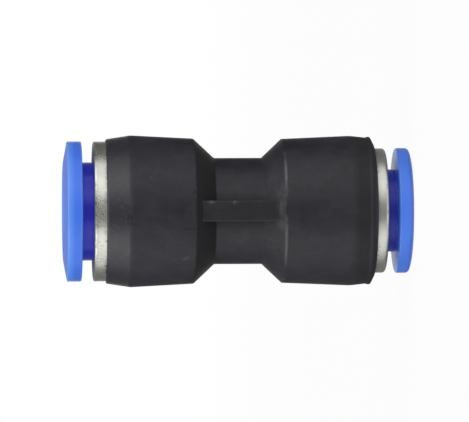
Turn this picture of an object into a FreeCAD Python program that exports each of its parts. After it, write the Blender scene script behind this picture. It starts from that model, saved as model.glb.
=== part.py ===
import FreeCAD, Part
import math
import os

import Sketcher

# Push-in reducing connector for air hose: a black moulded body with a 12 mm port at one end and a
# 10 mm port at the other. Each port holds a pressed-in metal collar, a release sleeve, a toothed
# grab ring, a back-up ring and an O-ring. The fitting stands on the small port's sleeve, with its
# axis on Z and the large port at the top. A port's pieces are drawn with Z as the depth below the
# outer face of its sleeve.

SIZES = {
    # Hoses, and the free space round each in its sleeve and seat
    "large_tube_diameter": 12.0,
    "small_tube_diameter": 10.0,
    "tube_clearance": 0.2,
    "passage_diameter": 8.0,
    "passage_length": 3.0,
    # Release sleeves
    "large_sleeve_wall": 0.95,
    "small_sleeve_wall": 0.8,
    "large_flange_overhang": 0.02,
    "small_flange_overhang": 0.03,
    "large_flange_thickness": 2.6,
    "small_flange_thickness": 2.05,
    "large_face_width": 1.0,
    "small_face_width": 2.9,
    "large_face_bevel_depth": 0.54,
    "small_face_bevel_depth": 0.25,
    "large_flange_edge_radius": 0.15,
    "small_flange_edge_radius": 0.6,
    "flange_back_radius": 0.2,
    "sleeve_mouth_chamfer": 0.45,
    "large_press_gap": 1.67,
    "small_press_gap": 1.53,
    "catch_height": 0.5,
    "catch_land": 0.3,
    "catch_taper_length": 1.2,
    "catch_play": 0.08,
    "nose_reach": 0.4,
    "nose_taper": 0.5,
    "slot_width": 1.2,
    "slot_count": 4,
    "slot_start": 0.5,
    # Metal collars
    "large_head_overhang": 1.07,
    "small_head_overhang": 1.13,
    "large_head_thickness": 1.83,
    "small_head_thickness": 1.63,
    "head_corner_radius": 0.4,
    "head_edge_radius": 0.12,
    "throat_clearance": 0.15,
    "throat_land": 0.2,
    "catch_room": 0.35,
    "insert_wall": 0.7,
    "insert_clearance": 0.1,
    "insert_end_chamfer": 0.2,
    "insert_tail": 0.8,
    "barb_start": 1.2,
    "barb_pitch": 1.3,
    "barb_depth": 0.35,
    "barb_bite": 0.08,
    # Grab rings
    "grab_ring_thickness": 0.3,
    "grab_rim_clearance": 0.3,
    "grab_rim_room": 0.3,
    "tooth_tip_step": 0.2,
    "tooth_angle": 45.0,
    "tooth_gap": 0.7,
    "tooth_root_depth": 0.25,
    "large_tooth_count": 12,
    "small_tooth_count": 10,
    # Back-up rings
    "backup_clearance": 0.05,
    "backup_mouth_room": 0.6,
    "backup_nose_room": 0.2,
    "backup_bore_step": 0.15,
    "backup_land": 0.4,
    # O-rings and their glands
    "seal_section": 1.8,
    "gland_clearance": 0.02,
    "gland_play": 0.35,
    # Body, inside
    "socket_mouth_chamfer": 0.3,
    "socket_end_play": 0.05,
    "small_seat_length": 7.15,
    "seat_mouth_chamfer": 0.25,
    # Body, outside: walls are measured outwards from the sockets, and the neck's from the seat
    "large_end_wall": 1.4,
    "large_barrel_wall": 1.94,
    "large_shoulder_wall": 1.46,
    "large_taper_length": 3.5,
    "large_gland_floor": 1.46,
    "large_cone_length": 2.99,
    "neck_wall": 1.51,
    "neck_length": 6.81,
    "small_cone_length": 2.88,
    "small_gland_floor": 2.44,
    "small_shoulder_wall": 2.53,
    "small_barrel_wall": 2.95,
    "small_barrel_place": 3.4,
    "small_groove_wall": 2.69,
    "small_groove_place": 1.15,
    "small_lip_wall": 2.8,
    "small_lip_place": 0.9,
    "small_bevel_depth": 0.55,
    "small_end_wall": 1.7,
    "large_shoulder_radius": 0.5,
    "small_shoulder_radius": 0.2,
    "neck_corner_radius": 0.3,
    "large_crown_radius": 2.0,
    "small_crown_radius": 6.0,
    "body_edge_radius": 0.25,
    "lip_edge_radius": 0.15,
    "rib_width": 3.0,
    "rib_height": 1.88,
    "rib_count": 2,
    "rib_edge_radius": 0.25,
}

# Sawtooth barbs on each collar, and how close two lengths must be to count as the same
BARB_COUNT = 3
SAME = 1e-4

doc = FreeCAD.newDocument("reducer")


def size(name):
    """Expression for one driving size in the sheet."""
    return f"Sizes.{name}"


def make_sheet():
    """The driving sizes, one to a row, each under its own alias."""
    sheet = doc.addObject("Spreadsheet::Sheet", "Sizes")
    for row, (name, length) in enumerate(SIZES.items(), start=1):
        sheet.set(f"A{row}", name)
        sheet.set(f"B{row}", str(length))
        sheet.setAlias(f"B{row}", name)
    doc.recompute()
    return sheet


sheet = make_sheet()


def number(expression):
    """Number that an expression gives with the sheet as it stands."""
    return float(sheet.evalExpression(expression))


class Port:
    """Sizes of one port as expressions: radii from the axis, depths below the sleeve's face."""

    def __init__(self, name):
        self.name = name
        # Radii, from the hose outwards
        self.bore_radius = f"(({size(name + '_tube_diameter')} + {size('tube_clearance')}) / 2)"
        self.stem_radius = f"({self.bore_radius} + {size(name + '_sleeve_wall')})"
        self.throat_radius = f"({self.stem_radius} + {size('throat_clearance')})"
        self.catch_radius = f"({self.stem_radius} + {size('catch_height')})"
        self.room_radius = f"({self.catch_radius} + {size('catch_room')})"
        self.insert_radius = f"({self.room_radius} + {size('insert_wall')})"
        self.socket_radius = f"({self.insert_radius} + {size('barb_depth')})"
        self.head_radius = f"({self.socket_radius} + {size(name + '_head_overhang')})"
        self.flange_radius = f"({self.head_radius} + {size(name + '_flange_overhang')})"
        # Depths of the sleeve, the collar and the grab ring
        self.head_depth = f"({size(name + '_flange_thickness')} + {size(name + '_press_gap')})"
        self.body_depth = f"({self.head_depth} + {size(name + '_head_thickness')})"
        self.throat_depth = f"({self.body_depth} + {size('throat_land')})"
        self.insert_length = (
            f"({size('barb_start')} + {BARB_COUNT} * {size('barb_pitch')} + {size('insert_tail')})"
        )
        self.insert_depth = f"({self.body_depth} + {self.insert_length})"
        # Grab ring and back-up ring, whose cone lets the pressed sleeve's nose come down
        self.rim_radius = f"({self.stem_radius} + {size('grab_rim_clearance')})"
        self.tip_radius = f"({self.bore_radius} - {size('tooth_tip_step')})"
        self.backup_depth = f"({self.insert_depth} + {size('grab_ring_thickness')})"
        self.backup_bore = f"({self.bore_radius} + {size('backup_bore_step')})"
        self.backup_nose = f"({self.stem_radius} + {size('backup_nose_room')})"
        self.nose_room_depth = (
            f"({size('nose_reach')} - {size('nose_taper')} + {size(name + '_press_gap')}"
            f" - {size('grab_ring_thickness')})"
        )
        self.cone_depth = f"({self.nose_room_depth} + {self.backup_nose} - {self.backup_bore})"
        self.backup_length = f"({self.cone_depth} + {size('backup_land')})"
        # Depths below the body's own end face
        self.socket_depth = (
            f"({self.insert_length} + {size('grab_ring_thickness')} + {self.backup_length}"
            f" + {size('socket_end_play')})"
        )
        self.gland_depth = f"({self.socket_depth} + {size('seal_section')} + {size('gland_play')})"
        self.gland_radius = (
            f"({self.tip_radius} + {size('seal_section')} + {size('gland_clearance')})"
        )
        self.shoulder_depth = f"({self.gland_depth} + {size(name + '_gland_floor')})"

    def wall(self, place):
        """Radius of the body's outside at a named place: the socket's radius and the wall there."""
        return f"({self.socket_radius} + {size(f'{self.name}_{place}_wall')})"


LARGE = Port("large")
SMALL = Port("small")

# Heights of the body above its own small end, and of the whole fitting above its standing face
SMALL_SHOULDER = SMALL.shoulder_depth
NECK_FOOT = f"({SMALL_SHOULDER} + {size('small_cone_length')})"
NECK_TOP = f"({NECK_FOOT} + {size('neck_length')})"
LARGE_SHOULDER = f"({NECK_TOP} + {size('large_cone_length')})"
BODY_LENGTH = f"({LARGE_SHOULDER} + {LARGE.shoulder_depth})"
SMALL_STOP = f"({SMALL.gland_depth} + {size('small_seat_length')})"
LARGE_STOP = f"({SMALL_STOP} + {size('passage_length')})"
OVERALL_LENGTH = f"({SMALL.body_depth} + {BODY_LENGTH} + {LARGE.body_depth})"
NECK_RADIUS = f"({LARGE.bore_radius} + {size('neck_wall')})"


def new_body(label):
    """Empty solid body with its own label."""
    body = doc.addObject("PartDesign::Body", label)
    body.Label = label
    return body


def origin_part(body, role):
    """Plane or axis of the body's own origin."""
    return next(item for item in body.Origin.OriginFeatures if item.Role == role)


def add_sketch(body, name, plane, corners):
    """Closed outline of straight runs: a corner has two expressions, and a third rounds it."""
    sketch = body.newObject("Sketcher::SketchObject", name)
    sketch.AttachmentSupport = [(origin_part(body, plane), "")]
    sketch.MapMode = "FlatFace"
    spots = [FreeCAD.Vector(number(across), number(up), 0) for across, up, *_ in corners.values()]
    runs_in = [(before - spot).normalize() for before, spot in zip(spots[-1:] + spots, spots)]
    runs_out = [(after - spot).normalize() for after, spot in zip(spots[1:] + spots[:1], spots)]
    trims = [
        number(rounding[0]) / math.tan(run_in.getAngle(run_out) / 2) if rounding else 0
        for (_, _, *rounding), run_in, run_out in zip(corners.values(), runs_in, runs_out)
    ]
    entries = [spot + run * trim for spot, run, trim in zip(spots, runs_in, trims)]
    exits = [spot + run * trim for spot, run, trim in zip(spots, runs_out, trims)]
    for start, end in zip(exits, entries[1:] + entries[:1]):
        sketch.addGeometry(Part.LineSegment(start, end), False)
    for index, (corner, (across, up, *rounding)) in enumerate(corners.items()):
        runs = ((index - 1) % len(spots), index)
        if rounding:
            ends = (entries[index], exits[index])
            held = round_corner(sketch, corner, rounding[0], runs, spots[index], ends)
        else:
            sketch.addConstraint(Sketcher.Constraint("Coincident", runs[0], 2, runs[1], 1))
            held = index
        hold_corner(sketch, held, f"{corner}_across", "DistanceX", across, -2)
        hold_corner(sketch, held, f"{corner}_up", "DistanceY", up, -1)
    return sketch


def round_corner(sketch, name, radius, runs, spot, ends):
    """Arc tangent to the two runs that meet at a corner, which stays as a construction point."""
    towards = spot - ends[0]
    turns_left = towards.cross(ends[1] - spot).z > 0
    side = 1 if turns_left else -1
    inward = FreeCAD.Vector(-side * towards.y, side * towards.x, 0).normalize()
    centre = ends[0] + inward * number(radius)
    circle = Part.Circle(centre, FreeCAD.Vector(0, 0, 1), number(radius))
    first, second = ends if turns_left else reversed(ends)
    arc = sketch.addGeometry(
        Part.ArcOfCircle(circle, circle.parameter(first), circle.parameter(second)), False
    )
    arc_in, arc_out = (1, 2) if turns_left else (2, 1)
    sketch.addConstraint(Sketcher.Constraint("Tangent", runs[0], 2, arc, arc_in))
    sketch.addConstraint(Sketcher.Constraint("Tangent", arc, arc_out, runs[1], 1))
    held = sketch.addConstraint(Sketcher.Constraint("Radius", arc, number(radius)))
    sketch.renameConstraint(held, f"{name}_radius")
    sketch.setExpression(f"Constraints.{name}_radius", radius)
    point = sketch.addGeometry(Part.Point(spot), True)
    for run in runs:
        sketch.addConstraint(Sketcher.Constraint("PointOnObject", point, 1, run))
    return point


def hold_corner(sketch, index, name, kind, expression, axis):
    """Hold one corner on an axis, or at a named distance from it."""
    if expression == "0":
        sketch.addConstraint(Sketcher.Constraint("PointOnObject", index, 1, axis))
        return
    distance = Sketcher.Constraint(kind, -1, 1, index, 1, number(expression))
    sketch.renameConstraint(sketch.addConstraint(distance), name)
    sketch.setExpression(f"Constraints.{name}", expression)


def revolve(body, name, corners):
    """Solid of revolution about Z from an outline of radius and height."""
    sketch = add_sketch(body, name + "_outline", "XZ_Plane", corners)
    turned = body.newObject("PartDesign::Revolution", name)
    turned.Profile = (sketch, [""])
    turned.ReferenceAxis = (sketch, ["V_Axis"])
    turned.Angle = 360
    doc.recompute()
    return turned


def must_cut(body, before, name):
    """Stop if a cut took nothing off the body."""
    if not body.Shape.Volume < before - SAME:
        raise ValueError(f"{name} cuts nothing")


def pattern_round_axis(body, name, feature, count):
    """Repeat a feature evenly about Z."""
    pattern = body.newObject("PartDesign::PolarPattern", name)
    pattern.Originals = [feature]
    pattern.Axis = (origin_part(body, "Z_Axis"), [""])
    pattern.Angle = 360
    pattern.setExpression("Occurrences", count)
    body.Tip = pattern
    doc.recompute()
    return pattern


def cut_slots(body, name, corners, start, count):
    """Cut an outline on XY from a height upwards through the solid, and repeat it about Z."""
    before = body.Shape.Volume
    sketch = add_sketch(body, name + "_outline", "XY_Plane", corners)
    sketch.setExpression("AttachmentOffset.Base.z", start)
    pocket = body.newObject("PartDesign::Pocket", name)
    pocket.Profile = (sketch, [""])
    pocket.Type = "ThroughAll"
    pocket.Reversed = True
    doc.recompute()
    must_cut(body, before, name)
    pattern_round_axis(body, name + "s", pocket, count)


def slot_corners(reach, width):
    """Outline of a slot from the axis outwards along X."""
    half = f"({width} / 2)"
    return {
        "axis_left": ("0", half),
        "axis_right": ("0", f"-{half}"),
        "outer_right": (reach, f"-{half}"),
        "outer_left": (reach, half),
    }


def place(item, port, depth):
    """Set a port's piece at a depth in its port: the large port faces up, the small one down."""
    if port is LARGE:
        turn = FreeCAD.Rotation(FreeCAD.Vector(1, 0, 0), 180)
        item.Placement = FreeCAD.Placement(FreeCAD.Vector(), turn)
        item.setExpression("Placement.Base.z", f"{OVERALL_LENGTH} - {depth}")
    else:
        item.setExpression("Placement.Base.z", depth)
    doc.recompute()


def make_body():
    """The moulded body: two barrels, a ribbed neck between them and a stepped bore."""
    body = new_body("body")
    edge = size("body_edge_radius")
    root = size("neck_corner_radius")
    taper_foot = f"({BODY_LENGTH} - {size('large_taper_length')})"
    outside = {
        "foot_centre": ("0", "0"),
        "foot": (SMALL.wall("end"), "0", edge),
        "lip_foot": (SMALL.wall("lip"), size("small_bevel_depth"), edge),
        "lip_top": (SMALL.wall("lip"), size("small_lip_place"), size("lip_edge_radius")),
        "groove": (SMALL.wall("groove"), size("small_groove_place"), size("lip_edge_radius")),
        "small_barrel": (SMALL.wall("barrel"), size("small_barrel_place"), size("small_crown_radius")),
        "small_shoulder": (SMALL.wall("shoulder"), SMALL_SHOULDER, size("small_shoulder_radius")),
        "neck_foot": (NECK_RADIUS, NECK_FOOT, root),
        "neck_top": (NECK_RADIUS, NECK_TOP, root),
        "large_shoulder": (LARGE.wall("shoulder"), LARGE_SHOULDER, size("large_shoulder_radius")),
        "large_barrel": (LARGE.wall("barrel"), taper_foot, size("large_crown_radius")),
        "top": (LARGE.wall("end"), BODY_LENGTH, edge),
        "top_centre": ("0", BODY_LENGTH),
    }
    revolve(body, "outside", outside)
    add_ribs(body)
    bore = add_sketch(body, "bore_outline", "XZ_Plane", bore_corners())
    before = body.Shape.Volume
    groove = body.newObject("PartDesign::Groove", "bore")
    groove.Profile = (bore, [""])
    groove.ReferenceAxis = (bore, ["V_Axis"])
    groove.Angle = 360
    doc.recompute()
    must_cut(body, before, "bore")
    body.setExpression("Placement.Base.z", SMALL.body_depth)
    doc.recompute()


def add_ribs(body):
    """Flat-faced ribs along the neck, from cone to cone."""
    reach = f"({NECK_RADIUS} + {size('rib_height')})"
    corners = {
        "axis_foot": ("0", SMALL_SHOULDER),
        "face_foot": (reach, SMALL_SHOULDER),
        "face_top": (reach, LARGE_SHOULDER),
        "axis_top": ("0", LARGE_SHOULDER),
    }
    sketch = add_sketch(body, "rib_outline", "YZ_Plane", corners)
    rib = body.newObject("PartDesign::Pad", "rib")
    rib.Profile = (sketch, [""])
    rib.SideType = "Symmetric"
    rib.setExpression("Length", size("rib_width"))
    doc.recompute()
    ribs = pattern_round_axis(body, "ribs", rib, size("rib_count"))
    rib_corner = math.hypot(number(reach), number(size("rib_width")) / 2)
    edges = [
        f"Edge{index}"
        for index, edge in enumerate(ribs.Shape.Edges, start=1)
        if isinstance(edge.Curve, Part.Line)
        and all(abs(math.hypot(end.X, end.Y) - rib_corner) < SAME for end in edge.Vertexes)
    ]
    rounded = body.newObject("PartDesign::Fillet", "rib_edges")
    rounded.Base = (ribs, edges)
    rounded.setExpression("Radius", size("rib_edge_radius"))
    doc.recompute()


def bore_corners():
    """Corners of the stepped bore through the body, from its small end up."""
    mouth = size("socket_mouth_chamfer")
    lead = size("seat_mouth_chamfer")
    passage = f"({size('passage_diameter')} / 2)"
    corners = {"foot_centre": ("0", "0")}
    corners.update(port_steps(SMALL, mouth, lead))
    corners["small_stop"] = (SMALL.bore_radius, SMALL_STOP)
    corners["passage_foot"] = (passage, SMALL_STOP)
    corners["passage_top"] = (passage, LARGE_STOP)
    corners["large_stop"] = (LARGE.bore_radius, LARGE_STOP)
    for name, (radius, depth) in reversed(port_steps(LARGE, mouth, lead).items()):
        corners[name] = (radius, f"({BODY_LENGTH} - {depth})")
    corners["top_centre"] = ("0", BODY_LENGTH)
    return corners


def port_steps(port, mouth, lead):
    """Steps of one port's bore, from the body's end face inwards, as radius and depth."""
    steps = {
        "mouth": (f"({port.socket_radius} + {mouth})", "0"),
        "socket": (port.socket_radius, mouth),
        "socket_end": (port.socket_radius, port.socket_depth),
        "gland": (port.gland_radius, port.socket_depth),
        "gland_end": (port.gland_radius, port.gland_depth),
        "seat_lead": (f"({port.bore_radius} + {lead})", port.gland_depth),
        "seat": (port.bore_radius, f"({port.gland_depth} + {lead})"),
    }
    return {f"{port.name}_{name}": step for name, step in steps.items()}


def make_sleeve(port):
    """Release sleeve: a flanged stem whose slotted end snaps into the collar."""
    body = new_body(f"{port.name}_release_sleeve")
    mouth = size("sleeve_mouth_chamfer")
    bevel = size(f"{port.name}_face_bevel_depth")
    edge = size(f"{port.name}_flange_edge_radius")
    flange_back = size(f"{port.name}_flange_thickness")
    catch = f"({port.throat_depth} + {size('catch_play')})"
    catch_end = f"({catch} + {size('catch_land')})"
    nose = f"({port.insert_depth} + {size('nose_reach')})"
    taper = size("nose_taper")
    outline = {
        "bore_mouth": (port.bore_radius, mouth),
        "face_inner": (f"({port.bore_radius} + {mouth})", "0"),
        "face_outer": (f"({port.bore_radius} + {size(port.name + '_face_width')})", "0"),
        "flange_face": (port.flange_radius, bevel, edge),
        "flange_back": (port.flange_radius, flange_back, size("flange_back_radius")),
        "stem": (port.stem_radius, flange_back),
        "catch_foot": (port.stem_radius, catch),
        "catch": (port.catch_radius, catch),
        "catch_end": (port.catch_radius, catch_end),
        "catch_taper": (port.stem_radius, f"({catch_end} + {size('catch_taper_length')})"),
        "nose_corner": (port.stem_radius, f"({nose} - {taper})"),
        "nose_tip": (f"({port.stem_radius} - {taper})", nose),
        "nose_inner": (port.bore_radius, nose),
    }
    revolve(body, "stem_and_flange", outline)
    reach = f"({port.catch_radius} + {size('slot_width')})"
    start = f"({port.head_depth} + {size('slot_start')})"
    corners = slot_corners(reach, size("slot_width"))
    cut_slots(body, "finger_slot", corners, start, size("slot_count"))
    place(body, port, "0")


def make_collar(port):
    """Metal collar: a round-cornered head over a barbed insert, bored for the sleeve."""
    body = new_body(f"{port.name}_collar")
    pilot = f"({port.socket_radius} - {size('insert_clearance')})"
    crest = f"({port.socket_radius} + {size('barb_bite')})"
    root = port.insert_radius
    pilot_end = f"({port.body_depth} + {size('barb_start')} / 2)"
    chamfer = size("insert_end_chamfer")
    edge = size("head_edge_radius")
    outline = {
        "throat_mouth": (port.throat_radius, port.head_depth, edge),
        "head_face": (port.head_radius, port.head_depth, size("head_corner_radius")),
        "head_back": (port.head_radius, port.body_depth, edge),
        "pilot": (pilot, port.body_depth),
        "pilot_end": (pilot, pilot_end),
        "first_root": (root, pilot_end),
    }
    for barb in range(BARB_COUNT):
        foot = f"({port.body_depth} + {size('barb_start')} + {barb} * {size('barb_pitch')})"
        outline[f"barb_foot_{barb}"] = (root, foot)
        outline[f"barb_crest_{barb}"] = (crest, foot)
    outline["last_root"] = (root, f"({port.insert_depth} - {size('insert_tail')})")
    outline["insert_edge"] = (root, f"({port.insert_depth} - {chamfer})")
    outline["insert_end"] = (f"({root} - {chamfer})", port.insert_depth)
    outline["room_end"] = (port.room_radius, port.insert_depth)
    outline["room"] = (port.room_radius, port.throat_depth)
    outline["throat"] = (port.throat_radius, port.throat_depth)
    revolve(body, "head_and_insert", outline)
    place(body, port, "0")


def make_grab_ring(port):
    """Spring-steel ring: a flat rim with sloping teeth that close on the hose."""
    body = new_body(f"{port.name}_grab_ring")
    thick = size("grab_ring_thickness")
    angle = size("tooth_angle")
    outer = f"({port.socket_radius} - {size('grab_rim_room')})"
    drop = f"(({port.rim_radius} - {port.tip_radius}) * tan({angle}))"
    back = f"({port.tip_radius} + {thick} * sin({angle}))"
    outline = {
        "rim_face": (outer, "0"),
        "bend_face": (port.rim_radius, "0"),
        "tip": (port.tip_radius, drop),
        "tip_back": (back, f"({drop} + {thick} * cos({angle}))"),
        "bend_back": (f"({port.rim_radius} + {thick} * tan({angle} / 2))", thick),
        "rim_back": (outer, thick),
    }
    revolve(body, "rim_and_cone", outline)
    reach = f"({port.rim_radius} + {size('tooth_root_depth')})"
    corners = slot_corners(reach, size("tooth_gap"))
    cut_slots(body, "tooth_gap", corners, "0", size(f"{port.name}_tooth_count"))
    place(body, port, port.insert_depth)


def make_backup_ring(port):
    """Plastic ring between grab ring and seal, coned to let the sleeve's nose come down."""
    body = new_body(f"{port.name}_backup_ring")
    outer = f"({port.socket_radius} - {size('backup_clearance')})"
    outline = {
        "mouth": (f"({port.stem_radius} + {size('backup_mouth_room')})", "0"),
        "rim": (outer, "0"),
        "foot": (outer, port.backup_length),
        "bore_end": (port.backup_bore, port.backup_length),
        "bore": (port.backup_bore, port.cone_depth),
        "nose_room": (port.backup_nose, port.nose_room_depth),
    }
    revolve(body, "ring", outline)
    place(body, port, port.backup_depth)


def make_seal(port):
    """O-ring in the middle of the gland below the back-up ring."""
    seal = doc.addObject("Part::Torus", f"{port.name}_o_ring")
    seal.Label = f"{port.name}_o_ring"
    seal.setExpression("Radius1", f"{port.tip_radius} + {size('seal_section')} / 2")
    seal.setExpression("Radius2", f"{size('seal_section')} / 2")
    gland_middle = f"({port.gland_depth} - ({size('seal_section')} + {size('gland_play')}) / 2)"
    place(seal, port, f"({port.body_depth} + {gland_middle})")


def export_parts():
    """Check every object, then write each piece's solid to its own file."""
    doc.recompute()
    for item in doc.Objects:
        if "Invalid" in item.State or "Error" in item.State:
            raise ValueError(f"{item.Name} failed: {item.State}")
    pieces = [item for item in doc.Objects if item.TypeId in ("PartDesign::Body", "Part::Torus")]
    for piece in pieces:
        if piece.Shape.isNull() or not piece.Shape.isValid() or len(piece.Shape.Solids) != 1:
            raise ValueError(f"{piece.Label} isn't one valid solid")
    os.makedirs("parts", exist_ok=True)
    for piece in pieces:
        piece.Shape.exportStep(f"parts/{piece.Label}.step")
        box = piece.Shape.BoundBox
        print(f"{piece.Label}: {piece.Shape.Volume:.1f} mm3, z {box.ZMin:.2f} to {box.ZMax:.2f}")


make_body()
for port in (LARGE, SMALL):
    make_sleeve(port)
    make_collar(port)
    make_grab_ring(port)
    make_backup_ring(port)
    make_seal(port)
export_parts()
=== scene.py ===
"""Looks of a push-in reducing connector for air hose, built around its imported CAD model.

The fitting stands on its small port, with its axis on Z and the large port at the top. A black
moulded body with a ribbed neck holds, at each end, a nickel-plated collar, a blue release sleeve
that slides inwards, a toothed grab ring, a back-up ring and an O-ring.
"""

import logging
import math
from dataclasses import dataclass
from enum import Enum
from typing import Callable, Iterable, Sequence, Union

import bmesh
import bpy
import numpy as np
from bpy.types import ID, Material, Mesh, NodeSocket, Object, World, bpy_prop_collection
from mathutils import Matrix, Vector

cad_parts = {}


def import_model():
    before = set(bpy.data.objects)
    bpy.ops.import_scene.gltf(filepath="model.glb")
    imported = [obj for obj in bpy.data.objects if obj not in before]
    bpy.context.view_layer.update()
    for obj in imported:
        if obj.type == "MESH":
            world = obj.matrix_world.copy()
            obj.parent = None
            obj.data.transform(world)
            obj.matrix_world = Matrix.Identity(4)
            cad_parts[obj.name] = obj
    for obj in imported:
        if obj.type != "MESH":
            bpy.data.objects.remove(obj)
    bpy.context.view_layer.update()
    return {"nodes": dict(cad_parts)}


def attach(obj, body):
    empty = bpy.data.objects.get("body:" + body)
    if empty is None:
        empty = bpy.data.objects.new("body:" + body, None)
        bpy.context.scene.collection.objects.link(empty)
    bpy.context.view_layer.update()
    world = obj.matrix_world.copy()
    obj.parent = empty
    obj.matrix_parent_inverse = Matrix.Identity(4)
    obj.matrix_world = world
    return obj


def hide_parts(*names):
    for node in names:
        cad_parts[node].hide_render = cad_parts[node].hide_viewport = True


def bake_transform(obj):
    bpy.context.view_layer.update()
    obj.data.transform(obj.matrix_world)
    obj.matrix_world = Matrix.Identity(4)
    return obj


LOG = logging.getLogger("reducer")

MM = 0.001
EDGE = "edge"
PAINTED_LIGHTING = "tone"
FACE = "face"
SHADE = "shade"
RING_SEGMENTS = 256
ARC_STEP = math.radians(12)
RUN_STEP = 1.2
SHARP_ANGLE = math.radians(34)
WHITE = (1.0, 1.0, 1.0)

Number = Union[float, "Signal"]
Triple = tuple[float, float, float]
Colour = Triple
Paint = Union[Colour, "Signal"]


# Node trees


def operator(operation: str, turned: bool = False) -> Callable:
    """Method of Signal for one arithmetic operator.

    Args:
        operation: What the Math node does.
        turned: True for the reflected form, whose first value is the other one.

    Returns:
        The method.
    """

    def method(signal: "Signal", other: Number) -> "Signal":
        """The Math node's result."""
        values = (other, signal) if turned else (signal, other)
        return signal.tree.maths(operation, *values)

    return method


class Signal:
    """An output socket in a node tree, with arithmetic that adds Math nodes."""

    __add__ = operator("ADD")
    __radd__ = operator("ADD", True)
    __sub__ = operator("SUBTRACT")
    __rsub__ = operator("SUBTRACT", True)
    __mul__ = operator("MULTIPLY")
    __rmul__ = operator("MULTIPLY", True)

    def __init__(self, tree: "NodeTree", socket: NodeSocket) -> None:
        """Wrap an output socket of a tree."""
        self.tree = tree
        self.socket = socket

    def larger(self, other: Number) -> "Signal":
        """The larger of two values."""
        return self.tree.maths("MAXIMUM", self, other)

    def between(self, low: float, high: float) -> "Signal":
        """Smooth step from 0 at low to 1 at high; low may be the larger number."""
        sockets = {"Value": self, "From Min": low, "From Max": high}
        settings = {"interpolation_type": "SMOOTHSTEP"}
        return self.tree.add("ShaderNodeMapRange", settings, sockets)


class NodeTree:
    """A node tree whose nodes are all added in one way."""

    def __init__(self, tree: bpy.types.NodeTree) -> None:
        """Wrap the tree of a material, a world or a modifier."""
        self.tree = tree

    def add(
        self,
        kind: str,
        settings: dict | None = None,
        sockets: dict | None = None,
        output: Union[int, str] = 0,
    ) -> Signal:
        """Add one node.

        Args:
            kind: The node's type.
            settings: Properties of the node, set first.
            sockets: Values or signals for its inputs, by name or number.
            output: The output that is wanted.

        Returns:
            The signal at that output.
        """
        node = self.tree.nodes.new(kind)
        for name, value in (settings or {}).items():
            setattr(node, name, value)
        for name, value in (sockets or {}).items():
            if isinstance(value, Signal):
                self.tree.links.new(value.socket, node.inputs[name])
            else:
                node.inputs[name].default_value = self._fitted(node.inputs[name], value)
        return Signal(self, node.outputs[output]) if node.outputs else None

    @staticmethod
    def _fitted(
        socket: NodeSocket, value: Union[float, Sequence[float]]
    ) -> Union[float, Sequence[float]]:
        """A colour of three numbers gets its fourth where the socket has four."""
        if socket.type == "RGBA" and len(value) == 3:
            return (*value, 1.0)
        return value

    def maths(self, operation: str, first: Number, second: Number) -> Signal:
        """One Math node."""
        return self.add("ShaderNodeMath", {"operation": operation}, {0: first, 1: second})


class ShaderTree(NodeTree):
    """Node tree of one material or world."""

    def __init__(self, owner: Union[Material, World]) -> None:
        """Start the empty tree of a material or a world."""
        owner.use_nodes = True
        super().__init__(owner.node_tree)
        self.tree.nodes.clear()

    def mix(self, factor: Number, first: Paint, second: Paint) -> Signal:
        """Colour that goes from the first to the second with the factor."""
        settings = {"data_type": "RGBA", "clamp_factor": True}
        return self.add("ShaderNodeMix", settings, {0: factor, 6: first, 7: second}, 2)

    def vectors(self, operation: str, sockets: dict, output: Union[int, str] = 0) -> Signal:
        """One Vector Math node."""
        return self.add("ShaderNodeVectorMath", {"operation": operation}, sockets, output)

    def place(self) -> Signal:
        """Object coordinates in millimetres."""
        metres = self.add("ShaderNodeTexCoord", output="Object")
        return self.vectors("SCALE", {0: metres, "Scale": 1 / MM})

    def stretched(self, place: Signal, scale: Triple) -> Signal:
        """Place multiplied axis by axis, for patterns that run along one axis."""
        return self.vectors("MULTIPLY", {0: place, 1: scale})

    def noise(
        self, place: Signal, scale: float, detail: float = 3.0, rough: float = 0.55
    ) -> Signal:
        """Smooth noise about 0.5, with its scale in waves a millimetre."""
        sockets = {"Vector": place, "Scale": scale, "Detail": detail, "Roughness": rough}
        return self.add("ShaderNodeTexNoise", None, sockets)

    def cells(self, place: Signal, scale: float) -> Signal:
        """Distance to the nearest of scattered points, in cells."""
        return self.add("ShaderNodeTexVoronoi", None, {"Vector": place, "Scale": scale})

    def attribute(self, name: str) -> Signal:
        """One of the mesh's own attributes."""
        return self.add("ShaderNodeAttribute", {"attribute_name": name}, output="Fac")

    def bump(self, height: Signal, strength: float, distance: float) -> Signal:
        """Surface normal with a relief, its depth in millimetres."""
        sockets = {"Height": height, "Strength": strength, "Distance": distance * MM}
        return self.add("ShaderNodeBump", None, sockets)

    def near(self, place: Signal, spot: Triple, reach: float) -> Signal:
        """One at a spot in millimetres, fading to nothing at the reach from it."""
        return self.vectors("DISTANCE", {0: place, 1: spot}, "Value").between(reach, 0.0)

    def marked(self, place: Signal, marks: Iterable["Mark"]) -> Signal:
        """The strength of the marks at a place."""
        shares = (self.near(place, mark.spot, mark.reach) * mark.strength for mark in marks)
        return sum(shares, 0.0)

    def surface(
        self, colour: Signal, rough: Signal, normal: Signal, more: dict | None = None
    ) -> None:
        """Principled shader on the material's output.

        Args:
            colour: Its base colour.
            rough: Its roughness.
            normal: Its normal.
            more: Values or signals for its other inputs.
        """
        sockets = {"Base Color": colour, "Roughness": rough, "Normal": normal, **(more or {})}
        shader = self.add("ShaderNodeBsdfPrincipled", None, sockets)
        self.add("ShaderNodeOutputMaterial", None, {"Surface": shader})

    def seen(self) -> Signal:
        """One for camera, glossy and transmission rays, and nothing for the light that falls."""
        camera = self.add("ShaderNodeLightPath", output="Is Camera Ray")
        path = camera.socket.node
        glossy = Signal(self, path.outputs["Is Glossy Ray"])
        through = Signal(self, path.outputs["Is Transmission Ray"])
        return camera.larger(glossy).larger(through)


# Finishes


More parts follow.
